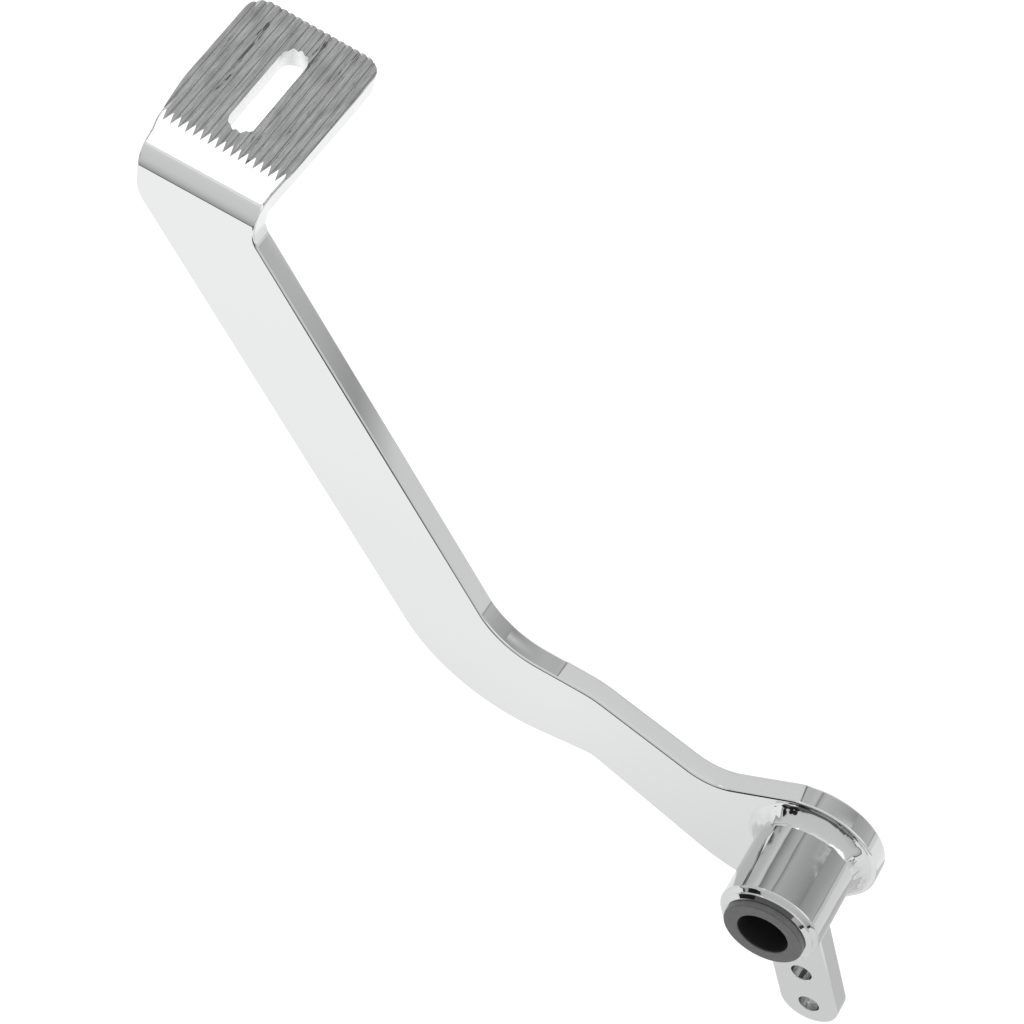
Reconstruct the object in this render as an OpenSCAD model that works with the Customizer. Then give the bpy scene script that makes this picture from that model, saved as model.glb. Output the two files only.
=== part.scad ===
// Rear brake pedal, fabricated from a cut and bent flat arm, a turned pivot tube welded to it
// and two pressed flanged bushes, bright plated after welding.
// Frame: origin on the pivot axis at the inboard face of the arm, +X forward, +Z up,
// +Y inboard along the pivot axis. The foot pad is folded outboard, towards -Y.

/* [Arm plate] */
// Thickness of the flat stock of the arm, lug and foot pad
plate_t = 8.6; // [6:0.1:10]
// Width of the straight upper stretch of the arm
arm_w = 38; // [30:0.5:44]
// Climb of the straight upper stretch above horizontal, in degrees
arm_climb = 50; // [46:1:54]
// Distance from the pivot axis to the hub side edge of the straight upper stretch
arm_reach = 90; // [84:1:96]
// Inner radius of the elbow, on its upper edge
elbow_inner_r = 34; // [20:1:45]
// Outer radius of the elbow, on its lower edge
elbow_outer_r = 65; // [50:1:80]
// Height of the upper edge of the elbow above the pivot axis
elbow_z = 16.5; // [10:0.5:24]
// Depth of the lowest point of the elbow below the pivot axis
elbow_drop = 22.4; // [16:0.5:30]
// Distance forward from the pivot axis to the notch under the arm
notch_x = 86; // [78:1:94]
// Height of the arm at that notch
notch_h = 32.5; // [24:0.5:40]
// Slope of the lower edge between the notch and the lug, in degrees
belly_slope = 20; // [14:1:26]

/* [Pivot boss] */
// Radius of the round end of the arm
boss_r = 25.4; // [23:0.2:32]
// Outer diameter of the pivot tube
tube_d = 38; // [32:0.5:42]
// Length of the pivot tube that stands out of the inboard face
tube_reach = 37.6; // [25:0.2:55]
// Width of the turned bevel at the free end of the tube
tube_bevel = 1.5; // [0.5:0.1:2]
// Height of the weld bead up the tube
bead_h = 6.2; // [3:0.2:9]
// Flat rim of the arm left outside the weld bead
bead_margin = 1.4; // [0.6:0.1:3]

/* [Bushes] */
// Bore of the bushes, for the pivot shaft
bush_bore_d = 19.1; // [12:0.05:20]
// Wall of the bush sleeve
bush_wall = 2.2; // [1.5:0.1:3]
// Outer diameter of the bush flange
bush_flange_d = 30.4; // [26:0.2:32]
// Thickness of the bush flange
bush_flange_t = 2.4; // [1.6:0.1:3]
// Length of the bush sleeve inside the tube
bush_len = 17; // [10:0.5:20]

/* [Rod lug] */
// Lean of the lug behind vertical, in degrees
lug_lean = 24.5; // [18:0.5:30]
// Width of the lug
lug_w = 24; // [18:0.5:28]
// Sideways distance from the pivot axis to the line of the lug holes
lug_offset = 16.55; // [12:0.05:20]
// Distance from the pivot axis to the tip, along the lug
lug_len = 112.2; // [108:0.2:130]
// Diameter of the two rod pin holes
lug_hole_d = 8.4; // [5:0.1:11]
// Distance from the pivot axis to the near hole, along the lug
lug_hole_1 = 81.6; // [76:0.1:86]
// Distance from the near hole to the far hole
lug_hole_pitch = 19.7; // [14:0.1:22]

/* [Foot pad] */
// Height of the tread face above the pivot axis
pad_z = 171.3; // [150:0.1:190]
// Inner radius of the fold between arm and pad
fold_inner_r = 3; // [2:0.2:3.4]
// Outer radius of the fold between arm and pad
fold_outer_r = 7; // [4:0.5:10]
// Distance forward from the pivot axis to the hub side of the fold
fold_x = 250.9; // [249:0.1:251.2]
// Width of the arm at the fold
fold_w = 44.9; // [42:0.1:46]
// Full width of the pad
pad_w = 51.7; // [50:0.1:60]
// Reach of the pad outboard from the inboard face of the arm
pad_reach = 84; // [70:0.2:110]
// Corner radius of the pad
pad_corner_r = 7.5; // [4:0.5:12]
// Distance from one tread groove to the next
groove_pitch = 2.87; // [2.2:0.01:4]
// Number of tread grooves
groove_n = 17; // [8:1:17]
// Depth of the tread grooves
groove_d = 1.2; // [0.6:0.1:1.6]
// Flat crest left between two grooves
groove_crest = 0.3; // [0.1:0.1:1]
// Distance from the inboard face of the arm to the pointed ends of the grooves
groove_start = 17.1; // [16:0.1:30]
// Length over which each groove runs out to its point
groove_runout = 3.6; // [2:0.1:8]
// Width of the slot through the pad
slot_w = 9.6; // [6:0.1:14]
// Overall length of the slot
slot_len = 42.5; // [30:0.5:46]
// Distance from the inboard face of the arm to the near end of the slot
slot_start = 28.1; // [25:0.1:32]

/* [Hidden] */
$fn = 96;
ARC_STEP = 4;              // degrees between two points of a round stretch
OVER = 1;                  // how far a cutter runs past the face that it cuts
PAD_SKEW = 0.8;            // how far the hub side edge of the pad leans towards the hub
GROOVE_SHIFT = 0.9;         // how far the row of grooves sits off the middle of the pad
END_SKEW = 1.5;            // how much further the pad reaches on its forward side
BOSS_BRACE = 33.5;         // slope of the boss's upper flank, in degrees
NECK_SLOPE = 15;           // slope of the upper edge between the boss and the elbow
NECK_X = 45;               // where that edge starts, forward of the pivot axis
NECK_Z = 3.7;              // height of that edge where it starts
HEEL_SLOPE = 11;           // slope of the lower edge between the notch and the elbow
BELLY_Z = -39.3;           // level of the lower edge beside the lug
flank_fillet_r = 40;       // between the boss and the rear edge of the lug
fold_z = pad_z - plate_t - fold_inner_r;
pad_mid_x = fold_x - PAD_SKEW + pad_w / 2;
tube_r = tube_d / 2;
seat_d = bush_bore_d + 2 * bush_wall;
bead_w = boss_r - tube_r - bead_margin;
slot_y = -(slot_start + slot_len / 2);

// Unit direction in the plane of the arm, in degrees from +X
function dir(a) = [cos(a), sin(a)];
function cross2(a, b) = a[0] * b[1] - a[1] * b[0];
// Where the line through p along u meets the line through q along v
function meet(p, u, q, v) = p + u * (cross2(q - p, v) / cross2(u, v));
// Points of an arc about c from angle a to angle b
function arc(c, r, a, b) =
    let (n = max(2, ceil(abs(b - a) / ARC_STEP)))
    [for (i = [0:n]) c + r * dir(a + (b - a) * i / n)];
// Points that round the corner p between its neighbours a and b
function corner(a, p, b, r) =
    let (u = (a - p) / norm(a - p), v = (b - p) / norm(b - p),
         half = acos(u * v) / 2,
         c = p + (u + v) / norm(u + v) * r / sin(half),
         t1 = p + u * r / tan(half) - c, t2 = p + v * r / tan(half) - c,
         a1 = atan2(t1[1], t1[0]), turn = atan2(cross2(t1, t2), t1 * t2))
    arc(c, r, a1, a1 + turn);
// A closed outline from corners [x, y, radius]
function rounded(path) =
    let (n = len(path), p = [for (q = path) [q[0], q[1]]])
    [for (i = [0:n - 1]) each path[i][2] > 0
        ? corner(p[(i + n - 1) % n], p[i], p[(i + 1) % n], path[i][2]) : [p[i]]];

// Frame of the lug: along it, and square to it towards the front
lug_along = dir(-90 - lug_lean);
lug_across = dir(-lug_lean);
lug_tip = lug_across * lug_offset + lug_along * (lug_len - lug_w / 2);
function lug_point(across, along) = lug_across * across + lug_along * along;
lug_rear = lug_offset - lug_w / 2;
lug_front = lug_offset + lug_w / 2;

// Frame of the straight upper stretch
arm_along = dir(arm_climb);
arm_out = dir(arm_climb - 90);
hub_edge = arm_out * arm_reach;
toe_edge = arm_out * (arm_reach + arm_w);
hub_corner = meet(hub_edge, arm_along, [fold_x, 0], [0, 1]);
toe_corner = meet(toe_edge, arm_along, [fold_x + fold_w, 0], [0, 1]);

// Fillet from the boss to the rear edge of the lug
flank_gap = lug_rear - flank_fillet_r;
flank_along = sqrt(pow(boss_r + flank_fillet_r, 2) - pow(flank_gap, 2));
flank_c = lug_point(flank_gap, flank_along);
flank_boss_a = atan2(flank_c[1], flank_c[0]) + 360;
flank_lug_a = -lug_lean;

// Corners along the upper and lower edges of the arm
neck_start = [NECK_X, NECK_Z];
brace_start = boss_r * dir(90 - BOSS_BRACE);
neck_corner = meet(brace_start, dir(-BOSS_BRACE), neck_start, dir(NECK_SLOPE));
elbow_top = meet([0, elbow_z], [1, 0], hub_edge, arm_along);
crest_corner = meet(neck_start, dir(NECK_SLOPE), [0, elbow_z], [1, 0]);
notch_top = neck_start[1] + (notch_x - neck_start[0]) * tan(NECK_SLOPE);
notch_corner = [notch_x, notch_top - notch_h];
belly_corner = meet(notch_corner, dir(belly_slope), [0, BELLY_Z], [1, 0]);
lug_root = meet([0, BELLY_Z], [1, 0], lug_point(lug_front, 0), lug_along);
heel_arc_c = meet([0, elbow_outer_r - elbow_drop], [1, 0],
                  toe_edge - arm_out * elbow_outer_r, arm_along);
heel_start = heel_arc_c + elbow_outer_r * dir(-90 - HEEL_SLOPE);

// Side view of the arm, boss and lug, up to the start of the fold
function arm_outline() = concat(
    arc(lug_tip, lug_w / 2, 180 - lug_lean, 360 - lug_lean),
    corner(lug_point(lug_front, lug_len), lug_root, belly_corner, 9),
    corner(lug_root, belly_corner, notch_corner, 60),
    corner(belly_corner, notch_corner, heel_start, 9),
    arc(heel_arc_c, elbow_outer_r, -90 - HEEL_SLOPE, arm_climb - 90),
    corner(toe_edge, toe_corner, [fold_x + fold_w, fold_z], 16),
    [[fold_x + fold_w, fold_z], [fold_x, fold_z], hub_corner],
    corner(hub_corner, elbow_top, crest_corner, elbow_inner_r),
    corner(elbow_top, crest_corner, neck_start, 30),
    corner(neck_start, neck_corner, brace_start, 22),
    arc([0, 0], boss_r, 90 - BOSS_BRACE, flank_boss_a),
    arc(flank_c, flank_fillet_r, flank_boss_a - 180, flank_lug_a)
);

// Plan of the pad, widening on its toe side as it leaves the fold
module pad_plan() {
    hub_side = fold_x - PAD_SKEW;
    toe_side = hub_side + pad_w;
    polygon(rounded([
        [fold_x, 0, 0],
        [hub_side, END_SKEW - pad_reach, pad_corner_r],
        [toe_side, -pad_reach, pad_corner_r],
        [toe_side, -34, 60],
        [fold_x + fold_w + 2.8, -fold_outer_r - 3.5, 8],
        [fold_x + fold_w, -2, 0],
        [fold_x + fold_w, 0, 0]
    ]));
}

// Turns a shape drawn in side view into a slab that runs outboard from the inboard face
module side_slab(thickness) {
    rotate([90, 0, 0]) linear_extrude(thickness) children();
}

// Turns a shape about the pivot axis, its height running inboard
module about_pivot() {
    rotate([-90, 0, 0]) rotate_extrude() children();
}

// Foot pad and the fold that joins it to the arm
module folded_pad() {
    intersection() {
        translate([fold_x - pad_w, 0, 0]) rotate([90, 0, 90])
            linear_extrude(3 * pad_w) polygon(rounded([
                [0, fold_z, 0],
                [0, pad_z, fold_outer_r],
                [-pad_reach - OVER, pad_z, 0],
                [-pad_reach - OVER, pad_z - plate_t, 0],
                [-plate_t, pad_z - plate_t, fold_inner_r],
                [-plate_t, fold_z, 0]
            ]));
        union() {
            translate([0, 0, pad_z - plate_t]) linear_extrude(plate_t + OVER) pad_plan();
            translate([fold_x, -plate_t - fold_inner_r, fold_z])
                cube([fold_w, plate_t + fold_inner_r, plate_t]);
        }
    }
}

// One row of V grooves side by side; a leaning row is drawn wider, so that it meets the upright one
module groove_row(lean) {
    half = (groove_pitch - groove_crest) / 2 / cos(lean);
    first_x = pad_mid_x + GROOVE_SHIFT - groove_pitch * (groove_n - 1) / 2;
    for (i = [0:groove_n - 1])
        translate([first_x + i * groove_pitch, 0])
            polygon([[0, -groove_d], [half, 0], [half, OVER], [-half, OVER], [-half, 0]]);
}

// Tread grooves: straight along the pad, then rising to a point towards the fold
module tread_grooves() {
    full_from = groove_start + groove_runout;
    rise = atan(groove_d / groove_runout);
    translate([0, 0, pad_z]) {
        translate([0, -full_from, 0]) rotate([90, 0, 0])
            linear_extrude(pad_reach) groove_row(0);
        intersection() {
            translate([0, -groove_start - groove_d * sin(rise), groove_d * cos(rise)])
                rotate([90 + rise, 0, 0]) translate([0, 0, -groove_runout])
                linear_extrude(3 * groove_runout) groove_row(rise);
            translate([0, -full_from, -2 * groove_d])
                cube([fold_x + 2 * pad_w, groove_runout, 3 * groove_d]);
        }
    }
}

// Long hole with round ends through the pad
module pad_slot() {
    end_y = (slot_len - slot_w) / 2;
    translate([pad_mid_x, slot_y, pad_z - plate_t - OVER]) {
        for (y = [-end_y, end_y]) translate([0, y, 0]) cylinder(d = slot_w, h = plate_t + 2 * OVER);
        translate([-slot_w / 2, -end_y, 0]) cube([slot_w, 2 * end_y, plate_t + 2 * OVER]);
    }
}

// Arm, lug and foot pad, cut and folded from one flat bar
module arm_plate() {
    color([0.86, 0.87, 0.88]) difference() {
        union() {
            side_slab(plate_t) polygon(arm_outline());
            folded_pad();
        }
        translate([0, OVER, 0]) rotate([90, 0, 0]) cylinder(r = tube_r, h = plate_t + 2 * OVER);
        for (along = [lug_hole_1, lug_hole_1 + lug_hole_pitch]) {
            p = lug_point(lug_offset, along);
            translate([p[0], OVER, p[1]]) rotate([90, 0, 0])
                cylinder(d = lug_hole_d, h = plate_t + 2 * OVER);
        }
        tread_grooves();
        pad_slot();
    }
}

// Turned tube through the arm, flush outboard, counterbored at both ends for the bushes
module pivot_tube() {
    seat_r = seat_d / 2;
    relief_r = seat_r - bush_wall / 2;
    face_r = bush_flange_d / 2 + 0.6;
    step = (tube_r - face_r) / 2;
    color([0.78, 0.79, 0.80]) about_pivot() polygon([
        [seat_r, -plate_t], [tube_r, -plate_t],
        [tube_r, tube_reach - 2 * tube_bevel], [tube_r - step, tube_reach - tube_bevel],
        [tube_r - step, tube_reach - tube_bevel * 0.7], [face_r, tube_reach],
        [seat_r, tube_reach], [seat_r, tube_reach - bush_len],
        [relief_r, tube_reach - bush_len], [relief_r, bush_len - plate_t],
        [seat_r, bush_len - plate_t]
    ]);
}

// Fillet weld round the foot of the tube, slightly hollow, on the inboard face
module weld_bead() {
    hollow = 0.16;
    steps = 10;
    color([0.84, 0.85, 0.86]) about_pivot() polygon(concat(
        [[tube_r, 0]],
        [for (i = [0:steps])
            let (f = i / steps, dip = hollow * sin(180 * f))
            [tube_r + bead_w * (1 - f - dip) , bead_h * (f - dip)]]
    ));
}

// Flanged bush, its sleeve in the tube and its flange against the end face
module flanged_bush() {
    bore_r = bush_bore_d / 2;
    rim = bush_flange_t / 3;
    about_pivot() polygon([
        [bore_r, -bush_len], [seat_d / 2, -bush_len], [seat_d / 2, 0],
        [bush_flange_d / 2, 0], [bush_flange_d / 2, bush_flange_t - rim],
        [bush_flange_d / 2 - rim / 2, bush_flange_t],
        [bore_r + rim, bush_flange_t], [bore_r, bush_flange_t - rim]
    ]);
}

module inboard_bush() {
    color([0.36, 0.36, 0.37]) translate([0, tube_reach, 0]) flanged_bush();
}

module outboard_bush() {
    color([0.36, 0.36, 0.37]) translate([0, -plate_t, 0]) mirror([0, 1, 0]) flanged_bush();
}

arm_plate();
pivot_tube();
weld_bead();
inboard_bush();
outboard_bush();
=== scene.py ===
"""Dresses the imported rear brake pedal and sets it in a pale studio.

The pedal is one rigid body of five pieces: the bent bar with its rod lug and its folded, grooved
foot pad, the pivot tube, the weld bead round the tube's foot, and a flanged bush in each end of
the tube. Each piece is a class that builds its mesh and dresses it. The plating mirrors its
surroundings, so the studio's room is drawn by direction: each broad face of the pedal looks into
a zone of its own. +X runs forward to the foot pad, +Y inboard along the pivot axis and +Z up.
"""

import logging
import math
from dataclasses import dataclass, field
from enum import Enum, IntEnum
from typing import Callable, Iterable, Sequence

import bmesh
import bpy
from mathutils import Matrix, Vector, noise

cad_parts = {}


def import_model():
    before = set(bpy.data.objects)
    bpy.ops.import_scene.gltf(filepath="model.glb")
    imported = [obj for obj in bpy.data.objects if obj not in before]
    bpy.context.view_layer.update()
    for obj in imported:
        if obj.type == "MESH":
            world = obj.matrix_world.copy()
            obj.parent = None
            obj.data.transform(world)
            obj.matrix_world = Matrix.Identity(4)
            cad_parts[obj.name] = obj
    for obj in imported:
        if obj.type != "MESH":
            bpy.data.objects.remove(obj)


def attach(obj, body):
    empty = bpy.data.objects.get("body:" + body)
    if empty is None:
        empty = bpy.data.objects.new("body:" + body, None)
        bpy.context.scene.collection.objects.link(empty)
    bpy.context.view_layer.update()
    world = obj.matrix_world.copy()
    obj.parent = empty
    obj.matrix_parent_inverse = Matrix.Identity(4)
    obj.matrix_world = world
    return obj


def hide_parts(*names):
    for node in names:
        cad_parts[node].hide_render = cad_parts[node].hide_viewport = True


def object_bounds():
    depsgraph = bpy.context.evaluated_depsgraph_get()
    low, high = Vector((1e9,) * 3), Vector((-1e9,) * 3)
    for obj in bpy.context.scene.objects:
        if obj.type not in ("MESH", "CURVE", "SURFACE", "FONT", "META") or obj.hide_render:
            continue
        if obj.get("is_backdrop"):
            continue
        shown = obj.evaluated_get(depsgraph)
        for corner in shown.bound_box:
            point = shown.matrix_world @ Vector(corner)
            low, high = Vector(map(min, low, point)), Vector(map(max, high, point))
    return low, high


LOG = logging.getLogger("brake_pedal")
MM = 0.001
BODY = "root"
Point2 = tuple[float, float]
Point3 = tuple[float, float, float]
Tree = bpy.types.NodeTree
Node = bpy.types.Node
Socket = bpy.types.NodeSocket
# Unit vectors of the plane: along its first axis and along its second
LEVEL = Vector((1.0, 0.0))
UPRIGHT = Vector((0.0, 1.0))
# Places of the colour sockets on a mix node
MIX_FIRST = 6
MIX_SECOND = 7
MIX_RESULT = 2


class Slot(Enum):
    """Material slots of the record; the dressed pieces build their own finishes and do not use them."""

    BAR = "plated_bar"
    TUBE = "plated_tube"
    WELD = "plated_weld"
    BUSH = "dark_bush"


class Side(Enum):
    """The two ends of the pivot tube, by the way along the pivot axis that they face."""

    INBOARD = 1.0
    OUTBOARD = -1.0


# Plane geometry


def heading(degrees: float) -> Vector:
    """Unit vector in the plane, measured in degrees from the first axis."""
    return Vector((math.cos(math.radians(degrees)), math.sin(math.radians(degrees))))


def cross(a: Vector, b: Vector) -> float:
    """The plane cross product of two vectors."""
    return a.x * b.y - a.y * b.x


def meet(p: Vector, u: Vector, q: Vector, v: Vector) -> Vector:
    """Crossing of two lines.

    Args:
        p: A point on the first line.
        u: The first line's direction.
        q: A point on the second line.
        v: The second line's direction.

    Returns:
        The point that lies on both lines.
    """
    return p + u * (cross(q - p, v) / cross(u, v))


def arc(centre: Vector, radius: float, start: float, end: float, step: float) -> list[Vector]:
    """Points along an arc.

    Args:
        centre: The arc's centre.
        radius: Its radius.
        start: Its first angle, in degrees.
        end: Its last angle, in degrees.
        step: The largest angle between two points, in degrees.

    Returns:
        The points, both ends included.
    """
    count = max(2, math.ceil(abs(end - start) / step))
    return [centre + radius * heading(start + (end - start) * i / count) for i in range(count + 1)]


def corner(a: Vector, p: Vector, b: Vector, radius: float, step: float) -> list[Vector]:
    """Points that round the corner p between its neighbours.

    Args:
        a: The neighbour before the corner.
        p: The corner.
        b: The neighbour after it.
        radius: The radius of the rounding, or 0 for a sharp corner.
        step: The largest angle between two points, in degrees.

    Returns:
        The points of the rounding from the side of a to the side of b.
    """
    if radius <= 0:
        return [p]
    u, v = (a - p).normalized(), (b - p).normalized()
    half = math.acos(max(-1.0, min(1.0, u.dot(v)))) / 2
    centre = p + (u + v).normalized() * radius / math.sin(half)
    t1 = p + u * radius / math.tan(half) - centre
    t2 = p + v * radius / math.tan(half) - centre
    first = math.degrees(math.atan2(t1.y, t1.x))
    turn = math.degrees(math.atan2(cross(t1, t2), t1.dot(t2)))
    return arc(centre, radius, first, first + turn, step)


def outward(points: Sequence[Vector]) -> list[Vector]:
    """Mitred outward offsets of a closed counterclockwise outline, each for an offset of 1.

    Args:
        points: The outline.

    Returns:
        One vector for each point.
    """
    least_cosine = 0.3
    result = []
    for i, p in enumerate(points):
        before = (p - points[i - 1]).normalized()
        after = (points[(i + 1) % len(points)] - p).normalized()
        n1, n2 = Vector((before.y, -before.x)), Vector((after.y, -after.x))
        mid = (n1 + n2).normalized()
        result.append(mid / max(least_cosine, mid.dot(n1)))
    return result


def smoothstep(low: float, high: float, value: float) -> float:
    """Rises smoothly from 0 at low to 1 at high.

    Args:
        low: The value that gives 0.
        high: The value that gives 1.
        value: The value.

    Returns:
        The share at the value.
    """
    t = max(0.0, min(1.0, (value - low) / (high - low)))
    return t * t * (3 - 2 * t)


# Mesh helpers


def finish_mesh(name: str, bm: bmesh.types.BMesh, crease: float = 30.0) -> bpy.types.Object:
    """Turns a bmesh into a scene object, shaded smooth up to a crease angle.

    Args:
        name: The piece's name.
        bm: Its mesh, which is freed.
        crease: The largest angle that is shaded smooth, in degrees.

    Returns:
        The new object.
    """
    bmesh.ops.recalc_face_normals(bm, faces=bm.faces)
    mesh = bpy.data.meshes.new(name)
    bm.to_mesh(mesh)
    bm.free()
    mesh.shade_smooth()
    mesh.set_sharp_from_angle(angle=math.radians(crease))
    obj = bpy.data.objects.new(name, mesh)
    bpy.context.collection.objects.link(obj)
    return obj


def apply_modifiers(obj: bpy.types.Object) -> None:
    """Bakes every modifier of a piece into its mesh.

    Args:
        obj: The piece.
    """
    bpy.context.view_layer.update()
    graph = bpy.context.evaluated_depsgraph_get()
    mesh = bpy.data.meshes.new_from_object(obj.evaluated_get(graph), depsgraph=graph)
    obj.modifiers.clear()
    old, obj.data = obj.data, mesh
    mesh.name = obj.name
    bpy.data.meshes.remove(old)


def cut(obj: bpy.types.Object, cutters: Iterable[bpy.types.Object]) -> None:
    """Subtracts closed cutters from a piece and removes them.

    Args:
        obj: The piece.
        cutters: The cutters.
    """
    tools = list(cutters)
    for tool in tools:
        step = obj.modifiers.new("cut", "BOOLEAN")
        step.operation, step.solver, step.object = "DIFFERENCE", "EXACT", tool
    apply_modifiers(obj)
    for tool in tools:
        bpy.data.objects.remove(tool)


def even_shading(obj: bpy.types.Object, crease: float) -> None:
    """Keeps flat faces flat beside their eased edges.

    Args:
        obj: The piece.
        crease: The largest angle that is shaded smooth, in degrees.
    """
    obj.data.shade_smooth()
    obj.data.set_sharp_from_angle(angle=math.radians(crease))
    weigh = obj.modifiers.new("even", "WEIGHTED_NORMAL")
    weigh.mode, weigh.weight, weigh.keep_sharp = "FACE_AREA", 100, True
    apply_modifiers(obj)


def bridge(bm: bmesh.types.BMesh, loops: Sequence[Sequence[bmesh.types.BMVert]]) -> None:
    """Joins closed loops of equally many vertices, each to the next, with quads.

    Args:
        bm: The mesh.
        loops: The loops.
    """
    for one, two in zip(loops, loops[1:]):
        for k in range(len(one)):
            j = (k + 1) % len(one)
            bm.faces.new((one[k], one[j], two[j], two[k]))


def turned(
    name: str,
    profile: Sequence[Point2],
    segments: int = 160,
    crease: float = 32.0,
    shift: Callable[[float, float, float], Point2] | None = None,
) -> bpy.types.Object:
    """A closed body of revolution about the pivot axis.

    Args:
        name: The piece's name.
        profile: Closed profile as (radius, way along the pivot axis), in millimetres.
        segments: Steps round the axis.
        crease: The largest angle that is shaded smooth, in degrees.
        shift: Moves a profile point for a turn angle: (angle, radius, way) to (radius, way).

    Returns:
        The new object.
    """
    bm = bmesh.new()
    rings = []
    for i in range(segments):
        a = 2 * math.pi * i / segments
        ring = []
        for r, y in profile:
            if shift is not None:
                r, y = shift(a, r, y)
            ring.append(bm.verts.new((r * MM * math.cos(a), y * MM, r * MM * math.sin(a))))
        rings.append(ring)
    count = len(profile)
    for i in range(segments):
        one, two = rings[i], rings[(i + 1) % segments]
        for k in range(count):
            n = (k + 1) % count
            bm.faces.new((one[k], two[k], two[n], one[n]))
    return finish_mesh(name, bm, crease)


def eased_profile(points: Sequence[Point3], step: float = 12.0) -> list[Point2]:
    """A closed profile with rounded corners.

    Args:
        points: Corners as (radius, way, rounding), in millimetres.
        step: The largest angle between two points of a rounding, in degrees.

    Returns:
        The profile's points.
    """
    flat = [Vector(p[:2]) for p in points]
    out: list[Point2] = []
    for i, p in enumerate(points):
        for q in corner(flat[i - 1], flat[i], flat[(i + 1) % len(flat)], p[2], step):
            out.append((q.x, q.y))
    return out


# Shader helpers


def join(tree: Tree, value: object, target: Socket) -> None:
    """Links a socket to an input, or sets a plain value on it.

    Args:
        tree: The node tree.
        value: The socket or the plain value.
        target: The input.
    """
    if isinstance(value, Socket):
        tree.links.new(value, target)
    else:
        target.default_value = value


def add_node(tree: Tree, kind: str, **inputs: object) -> Node:
    """Adds a node and fills its inputs.

    Args:
        tree: The node tree.
        kind: The node's type.
        inputs: Sockets and plain values by the input's name, with blanks as underscores.

    Returns:
        The node.
    """
    node = tree.nodes.new(kind)
    for key, value in inputs.items():
        join(tree, value, node.inputs[key.replace("_", " ")])
    return node


def calculate(tree: Tree, kind: str, *values: Socket | float) -> Socket:
    """Adds one step of arithmetic.

    Args:
        tree: The node tree.
        kind: The operation.
        values: Its sockets and numbers, in order.

    Returns:
        The result's socket.
    """
    node = tree.nodes.new("ShaderNodeMath")
    node.operation = kind
    for place, value in enumerate(values):
        join(tree, value, node.inputs[place])
    return node.outputs[0]


def remap(
    tree: Tree, value: Socket, low: float, high: float, to_low: float = 0.0, to_high: float = 1.0
) -> Socket:
    """Maps one range to another and holds the value at its ends.

    Args:
        tree: The node tree.
        value: The value's socket.
        low: The value that gives to_low.
        high: The value that gives to_high.
        to_low: The result at low.
        to_high: The result at high.

    Returns:
        The result's socket.
    """
    node = add_node(
        tree, "ShaderNodeMapRange", Value=value, From_Min=low, From_Max=high, To_Min=to_low, To_Max=to_high
    )
    return node.outputs["Result"]


def blend(tree: Tree, share: Socket, a: object, b: object) -> Socket:
    """Mixes two colours.

    Args:
        tree: The node tree.
        share: The share of the second colour.
        a: The first colour, as a socket or as plain red, green, blue and alpha.
        b: The second colour, in the same way.

    Returns:
        The mixed colour's socket.
    """
    node = tree.nodes.new("ShaderNodeMix")
    node.data_type = "RGBA"
    join(tree, share, node.inputs["Factor"])
    join(tree, a, node.inputs[MIX_FIRST])
    join(tree, b, node.inputs[MIX_SECOND])
    return node.outputs[MIX_RESULT]


def ramp(tree: Tree, source: Socket, stops: Sequence[Point2]) -> Socket:
    """A grey ramp over a value.

    Args:
        tree: The node tree.
        source: The value's socket.
        stops: Pairs of (position, grey).

    Returns:
        The grey's socket.
    """
    node = add_node(tree, "ShaderNodeValToRGB", Fac=source)
    bar = node.color_ramp
    while len(bar.elements) < len(stops):
        bar.elements.new(0.5)
    for element, (place, grey) in zip(bar.elements, stops):
        element.position = place
        element.color = (grey, grey, grey, 1)
    return node.outputs["Color"]


def grain(tree: Tree, place: Socket, stretch: Point3, **inputs: float) -> Socket:
    """Noise over stretched coordinates.

    Args:
        tree: The node tree.
        place: The coordinates.
        stretch: Their scale along each axis.
        inputs: The noise's other inputs, by name.

    Returns:
        The noise value's socket.
    """
    mapping = add_node(tree, "ShaderNodeMapping", Vector=place, Scale=stretch)
    noise_node = add_node(tree, "ShaderNodeTexNoise", Vector=mapping.outputs["Vector"], **inputs)
    return noise_node.outputs["Fac"]


def new_material(name: str) -> tuple[bpy.types.Material, Tree, Node]:
    """A material with a Principled shader.

    Args:
        name: The material's name.

    Returns:
        The material, its node tree and its shader.
    """
    mat = bpy.data.materials.new(name)
    mat.use_nodes = True
    tree = mat.node_tree
    return mat, tree, tree.nodes["Principled BSDF"]


# Finishes


@dataclass(frozen=True)
class DarkStreaks:
    """Thin broken dark streaks in the reflected colour, with fainter marks between them.

    Args:
        fine: Scale of the marks along each axis, per metre.
        broad: Scale of the zones that gather them, per metre.
        start: Sum of both noises where a streak begins.
        full: Sum of both noises where it is darkest.
        faint: Noise values between which the faint marks darken.
        faint_share: Share of the dark that the faint marks reach.
        dark: The streak's grey.
    """

    fine: Point3 = (1500.0, 110.0, 500.0)
    broad: Point3 = (190.0, 14.0, 30.0)
    start: float = 1.17
    full: float = 1.22
    faint: Point2 = (0.35, 0.65)
    faint_share: float = 0.42
    dark: float = 0.1

    def colour(self, tree: Tree, place: Socket, clean: Point3) -> Socket:
        """The reflected colour with its streaks.

        Args:
            tree: The node tree.
            place: The object coordinates.
            clean: The reflected colour between the streaks.

        Returns:
            The colour's socket.
        """
        marks = grain(tree, place, self.fine, Scale=1.0, Detail=4.0, Roughness=0.6)
        zones = grain(tree, place, self.broad, Scale=1.0, Detail=1.0)
        streak = remap(tree, calculate(tree, "ADD", marks, zones), self.start, self.full)
        faint = remap(tree, marks, *self.faint, 0.0, self.faint_share)
        share = calculate(tree, "MAXIMUM", streak, faint)
        return blend(tree, share, (*clean, 1), (self.dark, self.dark, self.dark, 1))


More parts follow.
